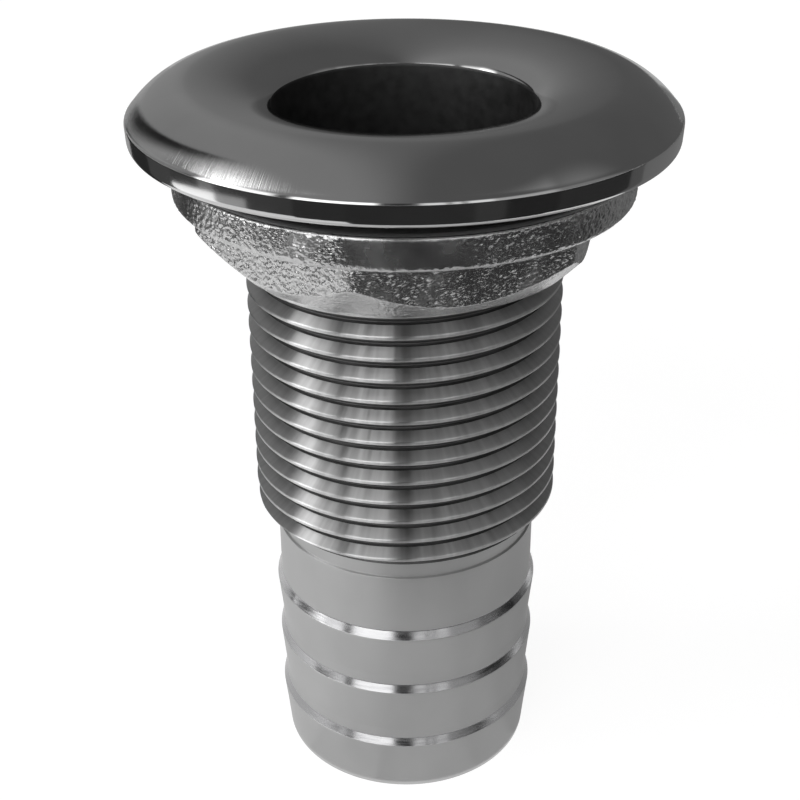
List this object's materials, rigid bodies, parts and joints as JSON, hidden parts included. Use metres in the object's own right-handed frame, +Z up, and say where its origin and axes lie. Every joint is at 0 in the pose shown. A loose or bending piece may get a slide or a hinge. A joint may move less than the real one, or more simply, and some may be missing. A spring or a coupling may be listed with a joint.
{
  "type": "thru hull fitting",
  "caption": "Stainless thru hull fitting: domed round flange, threaded barrel with flanged hex backing nut and washer, ridged hose tail, open bore.",
  "frame": {"origin": "centre of the bore at the open end of the hose tail, which is the bottom of the part as it stands", "axes": "+Z up along the bore towards the domed flange; +X and +Y across the bore"},
  "size_m": [0.055, 0.055, 0.0795],
  "materials": {
    "turned_steel": "flange polished, thread and tail turned to a satin",
    "cast_steel": "fine pebbled investment casting, machined top face",
    "black_rubber": "plain matt black"
  },
  "bodies": {
    "fitting": {"fitting_body": "turned_steel"},
    "washer": {"sealing_washer": "black_rubber"},
    "nut": {"backing_nut": "cast_steel"}
  },
  "joints": [
    {"name": "washer_slide", "type": "slide", "parent": "fitting", "child": "washer", "axis": [0, 0, -1], "range_m": [0, 0.02772]},
    {"name": "nut_turn", "type": "hinge", "parent": "washer", "child": "nut", "pos_m": [0, 0, 0.0665], "axis": [0, 0, -1], "range_deg": [0, 4320]}
  ],
  "couplings": [
    {"joint": "washer_slide", "follows": "nut_turn", "m_per_rad": 0.00036749}
  ]
}
